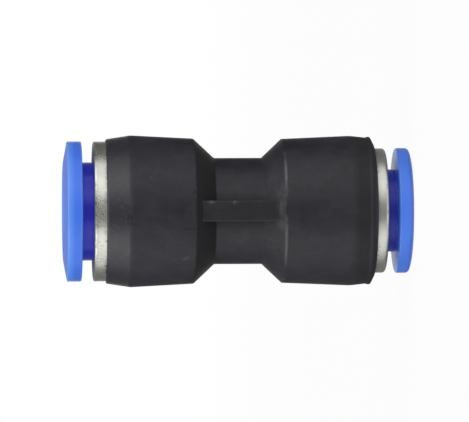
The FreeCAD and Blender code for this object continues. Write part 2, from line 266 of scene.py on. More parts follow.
@dataclass(frozen=True)
class Mark:
    """A worn or dirty place: its middle and reach in millimetres, and how strong it is."""

    spot: Triple
    reach: float
    strength: float = 1.0


@dataclass(frozen=True)
class Finish:
    """A procedural finish, made a material once."""

    title: str

    def material(self) -> Material:
        """The finish's material, built the first time that it is asked for."""
        found = bpy.data.materials.get(self.title)
        if found:
            return found
        made = bpy.data.materials.new(self.title)
        self.build(ShaderTree(made))
        return made

    def build(self, tree: ShaderTree) -> None:
        """Fill the material's tree."""
        raise NotImplementedError


@dataclass(frozen=True)
class BlackMoulding(Finish):
    """Glass-filled black plastic: satin, faintly mottled, with scuffs, nicks and light knocks, and
    painted light and shade: a highlight on the small shoulder's edge, a lighter taper band, and
    shade on the large cone, the ribs, the neck beside them and the foot band.
    """

    title: str = "black_moulding"
    colour: Colour = (0.0060, 0.0061, 0.0107)
    pale: Colour = (0.0200, 0.0205, 0.0280)
    # Painted light: the taper band near the large end is drawn lighter in this colour.
    taper: Colour = (0.0235, 0.0231, 0.0305)
    # Painted shade colour for the large cone, the ribs, the neck beside them and the foot band; the
    # nicks use it too.
    dull: Colour = (0.0018, 0.0018, 0.0034)
    # Painted highlight colour on the small shoulder's edge; the light knocks use it too.
    worn: Colour = (0.090, 0.090, 0.098)
    speck: Colour = (0.060, 0.060, 0.062)
    shoulder_highlights: tuple[Mark, ...] = (
        Mark((5.3, -9.0, 18.34), 4.6),
        Mark((-5.3, -9.0, 18.34), 4.6),
    )
    nicks: tuple[Mark, ...] = (
        Mark((-0.8, -10.75, 40.44), 0.75),
        Mark((-1.5, -10.7, 40.34), 0.75),
        Mark((-0.9, -10.6, 37.64), 0.5, 0.6),
        Mark((2.6, -10.1, 31.44), 0.75),
        Mark((-2.6, -10.1, 31.64), 0.75),
    )
    knocks: tuple[Mark, ...] = (
        Mark((1.45, -9.45, 28.94), 0.75),
        Mark((1.45, -9.45, 25.54), 0.75),
        Mark((4.8, -9.7, 37.44), 0.4, 0.4),
        Mark((-6.6, -7.9, 32.54), 0.7),
    )
    scrapes: tuple[Mark, ...] = (
        Mark((2.8, -9.5, 18.94), 1.6, 0.35),
        Mark((0.6, -9.8, 18.94), 1.6, 0.35),
        Mark((-1.7, -9.6, 18.94), 1.6, 0.35),
        Mark((4.6, -7.6, 20.24), 2.2, 0.16),
        Mark((-4.4, -7.6, 20.44), 2.6, 0.22),
        Mark((-4.0, -6.4, 24.44), 2.0, 0.16),
        Mark((3.4, -6.8, 24.84), 1.6, 0.12),
    )

    def build(self, tree: ShaderTree) -> None:
        """Fill the material's tree."""
        place = tree.place()
        cloud = tree.noise(place, 0.16, 4.0).between(0.36, 0.66)
        blotch = tree.noise(place, 0.55, 3.0).between(0.42, 0.64)
        streak = tree.noise(tree.stretched(place, (1.0, 1.0, 0.25)), 0.9, 4.0).between(0.45, 0.75)
        grain = tree.noise(place, 6.0, 3.0, 0.6)
        lines = tree.stretched(place, (0.6, 0.6, 2.2))
        scuff = tree.noise(lines, 1.1, 6.0, 0.7).between(0.70, 0.80)
        specks = tree.cells(place, 0.9).between(0.10, 0.04)
        tone = tree.attribute(PAINTED_LIGHTING)
        # Painted highlight on the small shoulder's edge, broken up by noise and strongest at the
        # two shoulder highlight marks.
        highlight_breakup = tree.noise(place, 0.35, 3.0).between(0.50, 0.62) * 0.5
        edge = tree.attribute(EDGE) * (highlight_breakup + tree.marked(place, self.shoulder_highlights))
        crumbs = tree.noise(place, 3.0, 3.0).between(0.40, 0.55)
        nick = tree.marked(place, self.nicks) * crumbs
        knock = tree.marked(place, self.knocks) * crumbs
        scrape = tree.marked(place, self.scrapes) * tree.noise(place, 1.1, 4.0).between(0.38, 0.52)
        fleck = tree.noise(place, 2.1, 5.0, 0.7).between(0.54, 0.66) * tone.between(0.0, 1.0)
        base = tree.mix(cloud * 0.45 + blotch * 0.3 + streak * 0.2, self.colour, self.pale)
        # Painted light on the taper band.
        base = tree.mix(tone.between(0.0, 1.0) * 0.8, base, self.taper)
        # Painted shade on the foot band and on the faces marked with the shade attribute, with the
        # nicks darkened in the same colour.
        painted_shade_and_nicks = tone.between(0.0, -1.0).larger(tree.attribute(SHADE)).larger(nick)
        base = tree.mix(painted_shade_and_nicks, base, self.dull)
        base = tree.mix(scuff * 0.35 + specks * 0.4 + fleck * 0.5 + scrape, base, self.speck)
        # Painted shoulder highlight, with the light knocks in the same pale colour.
        base = tree.mix(edge + knock * 0.8, base, self.worn)
        relief = grain * 0.5 + tree.noise(place, 1.4, 3.0) * 0.5 - scuff * 0.25 - nick
        rough = 0.50 + grain * 0.08 + cloud * 0.06 - tone * 0.20
        tree.surface(base, rough, tree.bump(relief, 0.5, 0.03), {"Specular IOR Level": 0.45})


@dataclass(frozen=True)
class NickelPlate(Finish):
    """Satin nickel on turned brass, with pits and grey grime in patches, and painted shade on its
    face under the sleeve's flange.
    """

    title: str = "nickel_plate"
    colour: Colour = (0.655, 0.665, 0.60)
    warm: Colour = (0.60, 0.60, 0.55)
    # Colour of the grime and pits, and of the painted shade on the collar's face.
    dirt_and_shade_colour: Colour = (0.05, 0.047, 0.04)
    wear: float = 0.8
    stains: tuple[Mark, ...] = (
        Mark((1.0, -9.97, 45.14), 2.4, 1.3),
        Mark((-1.3, -9.93, 45.04), 2.2),
        Mark((-8.3, -5.6, 44.04), 2.4),
        Mark((8.2, -5.7, 45.14), 2.2, 1.2),
    )

    def build(self, tree: ShaderTree) -> None:
        """Fill the material's tree."""
        place = tree.place()
        cloud = tree.noise(place, 0.35, 4.0).between(0.35, 0.65)
        lathe = tree.noise(tree.stretched(place, (0.4, 0.4, 14.0)), 1.0, 2.0)
        patch = tree.noise(place, 0.28, 3.0).between(0.50, 0.66) * self.wear
        pits = tree.cells(place, 2.6).between(0.30, 0.12)
        fine = tree.noise(place, 3.4, 5.0, 0.7).between(0.56, 0.70)
        marks = tree.marked(place, self.stains)
        stained = patch * 0.9 + marks
        pocks = pits * (patch + marks)
        rust = tree.noise(place, 2.4, 5.0, 0.75).between(0.50, 0.60)
        worn = tree.noise(place, 0.9, 4.0).between(0.48, 0.62) * 0.3 + marks * 0.5
        rim = tree.attribute(EDGE) * (worn + 0.15)
        face = tree.attribute(FACE)
        dirt_and_face_shade = pocks + fine * stained * 0.8 + rust * stained * 0.5 + rim
        # Painted shade on the collar's face under the sleeve's flange, with rust-noise grime on it.
        dirt_and_face_shade = dirt_and_face_shade + face * (0.55 + rust * 0.3)
        base = tree.mix(cloud, self.colour, self.warm)
        base = tree.mix(dirt_and_face_shade, base, self.dirt_and_shade_colour)
        relief = lathe * 0.35 - pocks - fine * 0.2 - rust * stained * 0.4
        rough = 0.30 + cloud * 0.05 + dirt_and_face_shade * 0.2
        metal = {"Metallic": 1.0 - dirt_and_face_shade.between(0.0, 1.0) * 0.6}
        tree.surface(base, rough, tree.bump(relief, 0.4, 0.03), metal)


@dataclass(frozen=True)
class BlueAcetal(Finish):
    """Blue acetal, with a painted highlight on its flange's rim, back face and edges, and painted
    shade, darker and more violet, on the stem behind the flange.
    """

    title: str = "blue_acetal"
    colour: Colour = (0.047, 0.180, 0.85)
    deep: Colour = (0.042, 0.153, 0.78)
    # Painted highlight colour on the flange's rim strip, back face and edges.
    rim: Colour = (0.118, 0.32, 0.97)
    face: Colour = (0.092, 0.20, 0.75)
    # Painted shade colour for the stem behind the flange, darker and more violet.
    stem: Colour = (0.033, 0.038, 0.87)

    def build(self, tree: ShaderTree) -> None:
        """Fill the material's tree."""
        place = tree.place()
        cloud = tree.noise(place, 0.25, 3.0).between(0.3, 0.7)
        grain = tree.noise(place, 5.0, 3.0)
        tone = tree.attribute(PAINTED_LIGHTING)
        base = tree.mix(cloud * 0.25, self.colour, self.deep)
        base = tree.mix(tree.attribute(FACE), base, self.face)
        # Painted highlight on the flange's rim strip, back face and edges.
        base = tree.mix(tree.attribute(EDGE), base, self.rim)
        # Painted shade on the stem behind the flange.
        base = tree.mix(tone, base, self.stem)
        tree.surface(base, 0.29 + grain * 0.08 - tone * 0.07, tree.bump(grain, 0.25, 0.02))


@dataclass(frozen=True)
class InnerFinish(Finish):
    """Finish of a piece inside: a clouded colour over a fine grain or rolling lines."""

    colour: Colour
    clouded: Colour
    cloud: tuple[float, float]
    span: tuple[float, float]
    grain: Triple
    rough: Triple
    relief: tuple[float, float]
    metallic: float = 0.0

    def build(self, tree: ShaderTree) -> None:
        """Fill the material's tree."""
        place = tree.place()
        cloud = tree.noise(place, *self.cloud).between(*self.span)
        grain = tree.noise(tree.stretched(place, self.grain), 1.0)
        base = tree.mix(cloud * 0.5, self.colour, self.clouded)
        least, by_grain, by_cloud = self.rough
        rough = least + grain * by_grain + cloud * by_cloud
        tree.surface(base, rough, tree.bump(grain, *self.relief), {"Metallic": self.metallic})


CLEAN_PLATE = NickelPlate("nickel_plate_clean", wear=0.2)
# The small sleeve's stem gets darker painted shade.
PAINTED_SHADE_STEM_BLUE = BlueAcetal("blue_acetal_painted_shade_stem", stem=(0.029, 0.033, 0.62))
SPRING_STRIP = InnerFinish(
    "spring_strip",
    colour=(0.56, 0.56, 0.55),
    clouded=(0.40, 0.37, 0.33),
    cloud=(0.7, 4.0),
    span=(0.45, 0.75),
    grain=(0.5, 12.0, 0.5),
    rough=(0.24, 0.2, 0.0),
    relief=(0.3, 0.01),
    metallic=1.0,
)
PALE_RING = InnerFinish(
    "pale_ring",
    colour=(0.74, 0.72, 0.66),
    clouded=(0.66, 0.62, 0.54),
    cloud=(0.4, 3.0),
    span=(0.35, 0.7),
    grain=(5.0, 5.0, 5.0),
    rough=(0.40, 0.1, 0.0),
    relief=(0.25, 0.02),
)
GREASED_RUBBER = InnerFinish(
    "greased_rubber",
    colour=(0.018, 0.018, 0.018),
    clouded=(0.035, 0.034, 0.033),
    cloud=(0.8, 3.0),
    span=(0.4, 0.65),
    grain=(7.0, 7.0, 7.0),
    rough=(0.62, 0.0, -0.3),
    relief=(0.3, 0.02),
)


# Meshes


@dataclass(frozen=True)
class Corner:
    """A corner of a turned outline, in millimetres: distance from the axis, height and rounding."""

    radius: float
    height: float
    rounding: float = 0.0

    def spot(self) -> np.ndarray:
        """The corner as a flat point."""
        return np.array((self.radius, self.height))


class Outline:
    """Closed outline of a turned piece, with rounded corners and spare points beside them."""

    LOOPS = (0.1, 0.35)

    def __init__(self, corners: Sequence[Corner]) -> None:
        """Work out the outline's points and its outer corners.

        Args:
            corners: The corners in order round the outline.
        """
        spots = [corner.spot() for corner in corners]
        area = sum(a[0] * b[1] - b[0] * a[1] for a, b in zip(spots, spots[1:] + spots[:1]))
        points: list[np.ndarray] = []
        self.crests: list[np.ndarray] = []
        for index, corner in enumerate(corners):
            before = spots[index - 1] - spots[index]
            after = spots[(index + 1) % len(spots)] - spots[index]
            arc = self._arc(corner, before, after)
            outer = (after[0] * before[1] - after[1] * before[0]) * area > 0
            if outer and corner.rounding < 0.5:
                self.crests.append(arc[len(arc) // 2])
            points.extend(arc)
        self.points = self._with_loops(points)

    @staticmethod
    def _arc(corner: Corner, before: np.ndarray, after: np.ndarray) -> list[np.ndarray]:
        """Points of one corner: itself, or an arc tangent to its two runs."""
        if not corner.rounding:
            return [corner.spot()]
        into = before / np.linalg.norm(before)
        out = after / np.linalg.norm(after)
        half = math.acos(max(-1.0, min(1.0, float(into @ out)))) / 2
        bisector = (into + out) / np.linalg.norm(into + out)
        centre = corner.spot() + bisector * corner.rounding / math.sin(half)
        start = corner.spot() + into * corner.rounding / math.tan(half) - centre
        end = corner.spot() + out * corner.rounding / math.tan(half) - centre
        turn = math.atan2(start[0] * end[1] - start[1] * end[0], float(start @ end))
        steps = max(2, math.ceil(abs(turn) / ARC_STEP))
        arc = []
        for angle in (turn * step / steps for step in range(steps + 1)):
            cosine, sine = math.cos(angle), math.sin(angle)
            arc.append(centre + np.array(((cosine, -sine), (sine, cosine))) @ start)
        return arc

    def _with_loops(self, points: list[np.ndarray]) -> np.ndarray:
        """Points with more between them along the long runs."""
        full = []
        for start, end in zip(points, points[1:] + points[:1]):
            full.append(start)
            length = float(np.linalg.norm(end - start))
            places = {loop / length for loop in self.LOOPS if loop < length * 0.4}
            places |= {1 - place for place in places}
            count = math.ceil(length / RUN_STEP)
            if count > 1:
                low, high = min(places), max(places)
                places |= {low + (high - low) * step / count for step in range(1, count)}
            full.extend(start + (end - start) * place for place in sorted(places))
        return np.array(full)


def turned_mesh(title: str, outline: Outline, segments: int = RING_SEGMENTS) -> Mesh:
    """Closed shell turned about Z.

    Args:
        title: The mesh's name.
        outline: Its closed outline.
        segments: Steps round the axis.

    Returns:
        The mesh, in metres, with its faces outwards.
    """
    line = outline.points * MM
    count = len(line)
    angles = np.arange(segments) * (math.tau / segments)
    radii, heights = line[:, 0], line[:, 1]
    across, along = np.outer(np.cos(angles), radii), np.outer(np.sin(angles), radii)
    places = (across, along, np.broadcast_to(heights, (segments, count)))
    vertices = np.stack(places, axis=2).reshape(-1, 3)
    ring = np.arange(segments)[:, None] * count
    following = (np.arange(segments)[:, None] + 1) % segments * count
    here = np.arange(count)[None, :]
    there = (here + 1) % count
    sides = (ring + here, following + here, following + there, ring + there)
    faces = np.stack(sides, axis=2).reshape(-1, 4)
    mesh = bpy.data.meshes.new(title)
    mesh.from_pydata(vertices.tolist(), [], faces.tolist())
    face_outwards(mesh)
    return mesh


def face_outwards(mesh: Mesh) -> None:
    """Turn a closed mesh's faces outwards."""
    work = bmesh.new()
    work.from_mesh(mesh)
    bmesh.ops.recalc_face_normals(work, faces=work.faces)
    work.to_mesh(mesh)
    work.free()


def block_mesh(title: str, low: Triple, high: Triple, edge: float = 0.0) -> Mesh:
    """Block between two corners in millimetres, with rounded edges.

    Args:
        title: The mesh's name.
        low: The lowest corner.
        high: The highest corner.
        edge: Rounding of its edges, or 0 for sharp ones.

    Returns:
        The mesh, in metres.
    """
    work = bmesh.new()
    bmesh.ops.create_cube(work, size=1.0)
    span = [(b - a) * MM for a, b in zip(low, high)]
    middle = Vector([(a + b) / 2 * MM for a, b in zip(low, high)])
    bmesh.ops.scale(work, vec=span, verts=work.verts)
    bmesh.ops.translate(work, vec=middle, verts=work.verts)
    if edge:
        sizes = {"offset": edge * MM, "offset_type": "OFFSET", "segments": 4, "profile": 0.5}
        bmesh.ops.bevel(work, geom=list(work.edges), affect="EDGES", **sizes)
    mesh = bpy.data.meshes.new(title)
    work.to_mesh(mesh)
    work.free()
    return mesh


def placed(title: str, data: ID) -> Object:
    """New object in the scene for a mesh, a lamp or a camera."""
    item = bpy.data.objects.new(title, data)
    bpy.context.scene.collection.objects.link(item)
    return item


def set_attribute(
    mesh: Mesh, name: str, values: np.ndarray, domain: str = "POINT"
) -> None:
    """Store one number for each vertex, or for each face."""
    attribute = mesh.attributes.new(name, "FLOAT", domain)
    attribute.data.foreach_set("value", values.astype(np.float32))


def spots_of(items: bpy_prop_collection, name: str) -> np.ndarray:
    """Places of a mesh's vertices ("co") or faces ("center") in millimetres."""
    spots = np.zeros(len(items) * 3)
    items.foreach_get(name, spots)
    return spots.reshape(-1, 3) / MM


def round_places(mesh: Mesh) -> np.ndarray:
    """Each vertex as distance from the axis and height in millimetres."""
    across, along, heights = spots_of(mesh.vertices, "co").T
    return np.stack((np.hypot(across, along), heights), axis=1)


def near_crests(mesh: Mesh, outline: Outline, reach: float) -> np.ndarray:
    """How near each vertex is to an outer corner.

    Args:
        mesh: The turned mesh.
        outline: The outline that it was turned from.
        reach: Distance in millimetres over which the value fades.

    Returns:
        A number for each vertex, 1 on a corner and 0 far from it.
    """
    places = round_places(mesh)
    nearest = np.full(len(places), np.inf)
    for crest in outline.crests:
        nearest = np.minimum(nearest, np.linalg.norm(places - crest, axis=1))
    return np.exp(-((nearest / reach) ** 2))


class Repeat(Enum):
    """What copies round the axis do to the piece that they are added to."""

    FUSE = "UNION"
    CUT = "DIFFERENCE"


@dataclass(frozen=True)
class RoundPattern:
    """Copies of one small mesh round Z, made by a Geometry Nodes tree."""

    title: str
    kind: Repeat
    count: int
    start: float = 0.0

    INPUTS = (
        ("Geometry", "NodeSocketGeometry"),
        ("Copy", "NodeSocketObject"),
        ("Count", "NodeSocketInt"),
        ("Start Angle", "NodeSocketFloat"),
        ("Finish", "NodeSocketMaterial"),
    )

    def _tree(self) -> bpy.types.NodeTree:
        """The node tree: turned copies, made real, then fused with or cut from the piece."""
        group = bpy.data.node_groups.new(self.title, "GeometryNodeTree")
        for name, kind in self.INPUTS:
            group.interface.new_socket(name, in_out="INPUT", socket_type=kind)
        group.interface.new_socket("Geometry", in_out="OUTPUT", socket_type="NodeSocketGeometry")
        tree = NodeTree(group)
        given = group.nodes.new("NodeGroupInput").outputs
        piece, copy, count, start, finish = (Signal(tree, given[name]) for name, _ in self.INPUTS)
        line = {"Count": count, "Offset": (0.0, 0.0, 0.0)}
        points = tree.add("GeometryNodeMeshLine", None, line)
        copied = tree.add("GeometryNodeObjectInfo", None, {"Object": copy}, "Geometry")
        turn = tree.add("GeometryNodeInputIndex") * tree.maths("DIVIDE", math.tau, count) + start
        angles = tree.add("ShaderNodeCombineXYZ", None, {"Z": turn})
        sockets = {"Points": points, "Instance": copied, "Rotation": angles}
        copies = tree.add("GeometryNodeInstanceOnPoints", None, sockets)
        real = tree.add("GeometryNodeRealizeInstances", None, {"Geometry": copies})
        settings = {"operation": self.kind.value, "solver": "EXACT"}
        first = "Mesh 1" if self.kind is Repeat.CUT else "Mesh 2"
        whole = tree.add("GeometryNodeMeshBoolean", settings, {first: piece})
        group.links.new(real.socket, whole.socket.node.inputs["Mesh 2"])
        sockets = {"Geometry": whole, "Material": finish}
        dressed = tree.add("GeometryNodeSetMaterial", None, sockets)
        tree.add("NodeGroupOutput", None, {"Geometry": dressed})
        return group

    def applied(
        self, mesh: Mesh, copy: Mesh, finish: Finish
    ) -> Mesh:
        """Plain mesh with the pattern in it.

        Args:
            mesh: The piece without its repeats.
            copy: The mesh that is repeated, at its place for the angle 0.
            finish: The finish of the result.

        Returns:
            The piece's mesh, with no modifier left.
        """
        base = placed(self.title + "_base", mesh)
        part = placed(self.title + "_copy", copy)
        modifier = base.modifiers.new(self.title, "NODES")
        modifier.node_group = self._tree()
        values = {
            "Copy": part,
            "Count": self.count,
            "Start Angle": self.start,
            "Finish": finish.material(),
        }
        for item in modifier.node_group.interface.items_tree:
            if item.in_out == "INPUT" and item.name in values:
                modifier[item.identifier] = values[item.name]
        graph = bpy.context.evaluated_depsgraph_get()
        result = bpy.data.meshes.new_from_object(base.evaluated_get(graph), depsgraph=graph)
        for item in (base, part):
            bpy.data.objects.remove(item)
        face_outwards(result)
        return result


def add_piece(
    title: str, mesh: Mesh, finish: Finish, body: str, node: str
) -> Object:
    """Put a finished mesh in the scene in place of its CAD node.

    Args:
        title: The piece's name.
        mesh: Its mesh, in place.
        finish: Its finish.
        body: The CAD body that it moves with.
        node: The CAD node that it stands for.

    Returns:
        The piece.
    """
    mesh.name = title
    mesh.materials.clear()
    mesh.materials.append(finish.material())
    mesh.polygons.foreach_set("material_index", np.zeros(len(mesh.polygons), dtype=np.int32))
    mesh.polygons.foreach_set("use_smooth", np.ones(len(mesh.polygons), dtype=bool))
    mesh.set_sharp_from_angle(angle=SHARP_ANGLE)
    piece = placed(title, mesh)
    if body:
        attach(piece, body)
    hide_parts(node)
    LOG.info("%s: %d faces", title, len(mesh.polygons))
    return piece


# The fitting


@dataclass(frozen=True)
class Port:
    """Sizes of one port in millimetres: radii from the axis, depths below its sleeve's face.

    The depths of its socket and gland are measured from the body's end.
    """

    name: str
    tube_radius: float
    sleeve_wall: float
    flange_thickness: float
    press_gap: float
    head_thickness: float
    head_overhang: float
    head_edge: float
    flange_overhang: float
    face_width: float
    face_bevel: float
    flange_edge: float
    # glow: depth where the sleeve's painted highlight strip is full, depth where it is gone, and
    # its strength.
    glow: Triple
    teeth: int
    socket_depth: float
    gland_depth: float
    face_height: float
    way_in: int

    CLEARANCE = 0.1
    THROAT_CLEARANCE = 0.15
    THROAT_LAND = 0.2
    CATCH_HEIGHT = 0.5
    CATCH_ROOM = 0.35
    INSERT_WALL = 0.7
    INSERT_LENGTH = 5.9
    BARB_DEPTH = 0.35
    GLAND_ROOM = 1.62
    NOSE_REACH = 0.4
    TIP_STEP = 0.2

    @property
    def bore(self) -> float:
        """Radius of the sleeve's bore and the hose's seat."""
        return self.tube_radius + self.CLEARANCE

    @property
    def stem(self) -> float:
        """Radius of the sleeve's stem."""
        return self.bore + self.sleeve_wall

    @property
    def throat(self) -> float:
        """Radius of the collar's mouth."""
        return self.stem + self.THROAT_CLEARANCE

    @property
    def catch(self) -> float:
        """Radius of the ridge that keeps the sleeve in the collar."""
        return self.stem + self.CATCH_HEIGHT

    @property
    def room(self) -> float:
        """Inner radius of the collar behind its mouth."""
        return self.catch + self.CATCH_ROOM

    @property
    def insert(self) -> float:
        """Outer radius of the collar's insert between its barbs."""
        return self.room + self.INSERT_WALL

    @property
    def socket(self) -> float:
        """Radius of the body's socket."""
        return self.insert + self.BARB_DEPTH

    @property
    def head(self) -> float:
        """Radius of the collar's head."""
        return self.socket + self.head_overhang

    @property
    def flange(self) -> float:
        """Radius of the sleeve's flange."""
        return self.head + self.flange_overhang

    @property
    def head_depth(self) -> float:
        """Depth of the collar's face."""
        return self.flange_thickness + self.press_gap

    @property
    def body_depth(self) -> float:
        """Depth of the body's end."""
        return self.head_depth + self.head_thickness

    @property
    def throat_depth(self) -> float:
        """Depth at which the collar's mouth opens into its room."""
        return self.body_depth + self.THROAT_LAND

    @property
    def insert_depth(self) -> float:
        """Depth of the collar's inner end."""
        return self.body_depth + self.INSERT_LENGTH

    @property
    def nose_depth(self) -> float:
        """Depth of the sleeve's nose."""
        return self.insert_depth + self.NOSE_REACH

    @property
    def tip(self) -> float:
        """Radius of the grab ring's tooth tips."""
        return self.bore - self.TIP_STEP

    def height(self, depth: float) -> float:
        """Height above the floor of a depth in the port."""
        return self.face_height + self.way_in * depth

    def depths(self, heights: np.ndarray) -> np.ndarray:
        """Depths in the port of heights above the floor."""
        return self.way_in * (heights - self.face_height)

    def outline(self, corners: Iterable[tuple]) -> Outline:
        """Outline from corners given as radius, depth and, where it has one, rounding."""
        return Outline([Corner(reach, self.height(deep), *more) for reach, deep, *more in corners])


LARGE = Port(
    name="large",
    tube_radius=6.0,
    sleeve_wall=0.95,
    flange_thickness=2.6,
    press_gap=1.67,
    head_thickness=1.83,
    head_overhang=1.07,
    head_edge=0.3,
    flange_overhang=0.02,
    face_width=1.0,
    face_bevel=0.54,
    flange_edge=0.15,
    glow=(0.62, 1.6, 1.0),
    teeth=12,
    socket_depth=8.92,
    gland_depth=11.07,
    face_height=49.74,
    way_in=-1,
)
SMALL = Port(
    name="small",
    tube_radius=5.0,
    sleeve_wall=0.8,
    flange_thickness=2.05,
    press_gap=1.53,
    head_thickness=1.63,
    head_overhang=1.13,
    head_edge=0.45,
    flange_overhang=0.03,
    face_width=2.9,
    face_bevel=0.25,
    flange_edge=0.6,
    glow=(2.0, -20.0, 0.32),
    teeth=10,
    socket_depth=8.63,
    gland_depth=10.78,
    face_height=0.0,
    way_in=1,
)


@dataclass(frozen=True)
class ReleaseSleeve:
    """Blue sleeve: a flange to press, and a stem whose slotted end snaps into the collar."""

    port: Port
    finish: Finish
    slot_width: float = 1.2
    slots: int = 4
    slot_start: float = 0.5
    mouth: float = 0.45
    back_edge: float = 0.2
    edge: float = 0.08
    fine_edge: float = 0.05
    catch_play: float = 0.08
    catch_land: float = 0.3
    catch_length: float = 1.5
    nose_taper: float = 0.5

    def outline(self) -> Outline:
        """Outline of the flange, stem, catch and nose."""
        port = self.port
        catch = port.throat_depth + self.catch_play
        nose = port.nose_depth
        return port.outline(
            (
                (port.bore, self.mouth, self.edge),
                (port.bore + self.mouth, 0.0, self.edge),
                (port.bore + port.face_width, 0.0, 0.2),
                (port.flange, port.face_bevel, port.flange_edge),
                (port.flange, port.flange_thickness, self.back_edge),
                (port.stem, port.flange_thickness, 0.1),
                (port.stem, catch),
                (port.catch, catch, self.fine_edge),
                (port.catch, catch + self.catch_land, self.fine_edge),
                (port.stem, catch + self.catch_length),
                (port.stem, nose - self.nose_taper, self.edge),
                (port.stem - self.nose_taper, nose, self.edge),
                (port.bore, nose, self.fine_edge),
            )
        )

    def build(self) -> Object:
        """The sleeve, riding on its own body."""
        port = self.port
        outline = self.outline()
        title = f"{port.name}_release_sleeve"
        ends = port.height(port.head_depth + self.slot_start), port.height(port.nose_depth + 1.0)
        half = self.slot_width / 2
        low = (port.bore - 1.0, -half, min(ends))
        cutter = block_mesh(title + "_slot", low, (port.catch + 1.0, half, max(ends)))
        pattern = RoundPattern(title + "_slots", Repeat.CUT, self.slots)
        mesh = pattern.applied(turned_mesh(title, outline), cutter, self.finish)
        radii, heights = round_places(mesh).T
        depths = port.depths(heights)
        # Painted highlight: a strip on the flange's rim between the port's glow depths, the
        # flange's back face, and the outer corners.
        bright, dull, strength = port.glow
        strip = np.clip((depths - dull) / (bright - dull), 0.0, 1.0) * (radii > port.flange - 0.25)
        back = (abs(depths - port.flange_thickness) < 0.02) * (radii > port.stem + 0.3)
        strip = np.maximum(strip * strength, back * 0.8)
        set_attribute(mesh, EDGE, np.maximum(strip, near_crests(mesh, outline, 0.2) * 0.4))
        # Painted shade on the stem and everything behind the flange.
        behind = np.clip((depths - port.flange_thickness) / 0.15, 0.0, 1.0)
        set_attribute(mesh, PAINTED_LIGHTING, behind * (radii < port.flange - 0.6))
        set_attribute(mesh, FACE, np.clip((port.face_bevel + 0.05 - depths) / 0.15, 0.0, 1.0))
        body = f"{port.name}_sleeve"
        return add_piece(title + "_shell", mesh, self.finish, body, title)


@dataclass(frozen=True)
class Collar:
    """Plated collar: a round-cornered head over a barbed insert pressed into the body."""

    port: Port
    finish: Finish
    barbs: int = 3
    barb_start: float = 1.2
    barb_pitch: float = 1.3
    barb_bite: float = 0.06
    pilot_clearance: float = 0.1
    tail: float = 0.8
    end_bevel: float = 0.2

    def outline(self) -> Outline:
        """Outline of the head, the barbs and the bore."""
        port = self.port
        end = port.insert_depth
        pilot = port.socket - self.pilot_clearance
        pilot_end = port.body_depth + self.barb_start / 2
        corners = [
            (port.throat, port.head_depth, 0.12),
            (port.head, port.head_depth, port.head_edge),
            (port.head, port.body_depth, 0.1),
            (pilot, port.body_depth),
            (pilot, pilot_end),
            (port.insert, pilot_end),
        ]
        for barb in range(self.barbs):
            foot = port.body_depth + self.barb_start + barb * self.barb_pitch
            corners += [(port.insert, foot), (port.socket + self.barb_bite, foot, 0.03)]
        corners += [
            (port.insert, end - self.tail),
            (port.insert, end - self.end_bevel),
            (port.insert - self.end_bevel, end),
            (port.room, end),
            (port.room, port.throat_depth),
            (port.throat, port.throat_depth),
        ]
        return port.outline(corners)

    def build(self) -> Object:
        """The collar, riding on the fitting."""
        port = self.port
        title = f"{port.name}_collar"
        outline = self.outline()
        mesh = turned_mesh(title, outline)
        radii, heights = round_places(mesh).T
        # The face under the sleeve's flange gets painted shade from the finish.
        at_face = port.depths(heights) < port.head_depth + 0.02
        face = at_face * (radii < port.head - port.head_edge)
        set_attribute(mesh, FACE, face.astype(float))
        set_attribute(mesh, EDGE, near_crests(mesh, outline, 0.3))
        return add_piece(title + "_shell", mesh, self.finish, "fitting", title)


@dataclass(frozen=True)
class GrabRing:
    """Spring ring: a flat rim, and teeth that slope in to grip the hose."""

    port: Port
    finish: Finish = SPRING_STRIP
    thickness: float = 0.3
    clearance: float = 0.3
    tooth_gap: float = 0.7
    root: float = 0.2
    root_step: float = 0.15
    bend_depth: float = 0.6
    edge: float = 0.04

    def tooth_mesh(self, steps: int = 6) -> Mesh:
        """One tooth at the angle 0: a bent strip between two radial cuts.

        Args:
            steps: Steps across the tooth.

        Returns:
            The tooth's mesh.
        """
        port = self.port
        rim = port.stem + self.clearance
        face = port.insert_depth
        drop = rim - port.tip
        slant = self.thickness * math.sqrt(0.5)
        bend = self.thickness * math.tan(math.pi / 8)
        section = [
            (rim + self.root, face),
            (rim, face),
            (port.tip, face + drop),
            (port.tip + slant, face + drop + slant),
            (rim + bend, face + self.thickness),
            (rim + self.root, face + self.thickness),
        ]
        half_angle = math.pi / port.teeth
        spots = []
        for step in range(steps + 1):
            for radius, depth in section:
                limit = half_angle - math.asin(self.tooth_gap / 2 / radius)
                angle = limit * (2 * step / steps - 1)
                spot = (radius * math.cos(angle), radius * math.sin(angle), port.height(depth))
                spots.append([value * MM for value in spot])
        count = len(section)
        rings = [range(step * count, (step + 1) * count) for step in range(steps + 1)]
        faces = []
        for first, second in zip(rings, rings[1:]):
            for here in range(count):
                there = (here + 1) % count
                faces.append((first[here], second[here], second[there], first[there]))
        mesh = bpy.data.meshes.new(f"{port.name}_grab_tooth")
        mesh.from_pydata(spots, [], [*faces, rings[0], rings[-1]])
        face_outwards(mesh)
        return mesh

    def build(self) -> Object:
        """The ring, its rim and teeth in one piece, attached to no body."""
        port = self.port
        title = f"{port.name}_grab_ring"
        face = port.insert_depth
        back = face + self.thickness
        inner = port.stem + self.clearance + self.root_step
        outer = port.socket - self.clearance
        corners = ((inner, face), (outer, face), (outer, back), (inner, back))
        outline = port.outline((radius, depth, self.edge) for radius, depth in corners)
        pattern = RoundPattern(title + "_teeth", Repeat.FUSE, port.teeth)
        rim = turned_mesh(title, outline, RING_SEGMENTS // 2)
        mesh = pattern.applied(rim, self.tooth_mesh(), self.finish)
        piece = add_piece(title + "_strip", mesh, self.finish, "", title)
        start = (0.0, 0.0, port.height(face) * MM)
        end = (0.0, 0.0, port.height(face + self.bend_depth) * MM)
        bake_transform(piece)
        return piece


